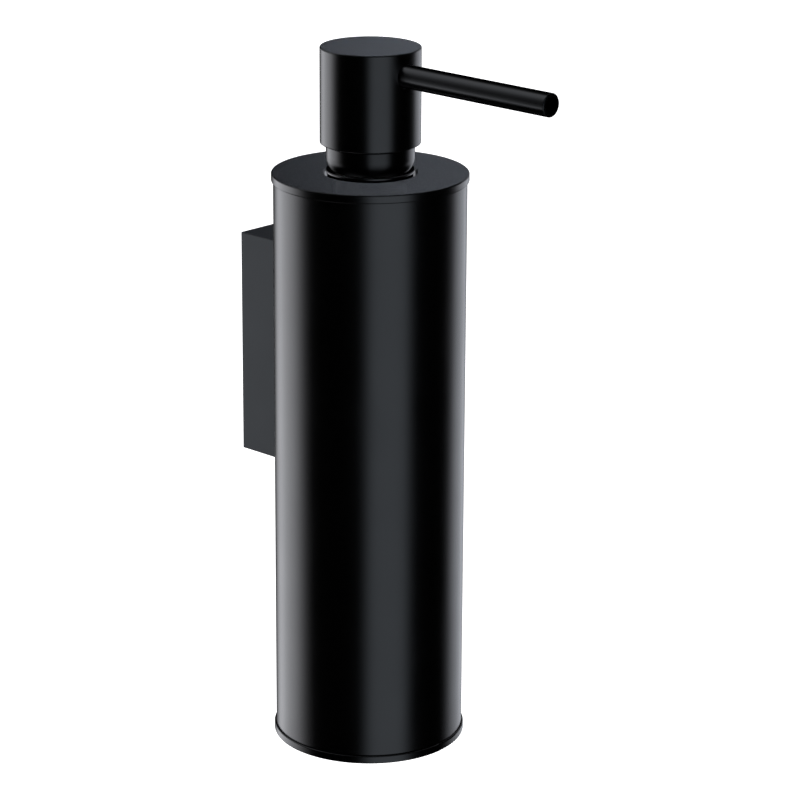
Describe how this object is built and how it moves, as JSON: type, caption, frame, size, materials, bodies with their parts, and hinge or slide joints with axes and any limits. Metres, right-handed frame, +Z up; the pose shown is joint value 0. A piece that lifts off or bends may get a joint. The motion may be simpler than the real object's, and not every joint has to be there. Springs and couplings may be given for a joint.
{
  "type": "wall mounted soap dispenser",
  "caption": "Slim round black metal soap dispenser on a rectangular wall bracket, with a lotion pump, a plain cylindrical press head and a straight spout.",
  "frame": {"origin": "middle of the bracket's back, on the wall plate's back face where it meets the wall", "axes": "+Z up along the tube, +Y into the wall, so the spout points along -Y, and +X to the right as seen from the front"},
  "size_m": [0.0556, 0.1049, 0.2033],
  "materials": {
    "black_coat": "smooth black coat, satin to gloss, over metal",
    "bottle_plastic": "natural blown plastic, milky",
    "pump_plastic": "white moulded plastic",
    "piston_plastic": "soft natural plastic",
    "tube_plastic": "clear drawn plastic tube",
    "steel": "plain stainless steel",
    "screw_steel": "blackened steel",
    "seal_rubber": "black rubber"
  },
  "bodies": {
    "dispenser": {"wall_plate": "steel", "bracket_block": "black_coat", "lock_screw": "screw_steel", "bracket_screws": "steel", "nut_strip": "steel", "body_tube": "black_coat", "base_cap": "black_coat", "base_o_ring": "seal_rubber", "top_cap": "black_coat", "cap_o_ring": "seal_rubber", "neck_ring": "black_coat", "inner_bottle": "bottle_plastic"},
    "pump_unit": {"pump_collar": "black_coat", "pump_closure": "pump_plastic", "neck_gasket": "seal_rubber", "pump_housing": "pump_plastic", "stem_guide": "pump_plastic", "ball_cage": "pump_plastic", "dip_tube": "tube_plastic", "return_spring": "steel"},
    "plunger": {"piston_stem": "pump_plastic", "piston": "piston_plastic"},
    "head": {"head_shell": "black_coat", "actuator_core": "pump_plastic", "spout_tube": "black_coat"},
    "inlet_valve": {"inlet_ball": "steel"}
  },
  "joints": [
    {"name": "refill_lift", "type": "slide", "parent": "dispenser", "child": "pump_unit", "axis": [0, 0, 1], "range_m": [0, 0.17]},
    {"name": "head_press", "type": "slide", "parent": "pump_unit", "child": "plunger", "axis": [0, 0, -1], "range_m": [0, 0.007], "stiffness_N_per_m": 1000, "springref_m": -0.006, "deforming": ["return_spring"]},
    {"name": "spout_swivel", "type": "hinge", "parent": "plunger", "child": "head", "pos_m": [0, -0.0392, 0.0768], "axis": [0, 0, 1], "range_deg": [-120, 120]},
    {"name": "inlet_ball_lift", "type": "slide", "parent": "pump_unit", "child": "inlet_valve", "axis": [0, 0, 1], "range_m": [0, 0.0014]}
  ]
}
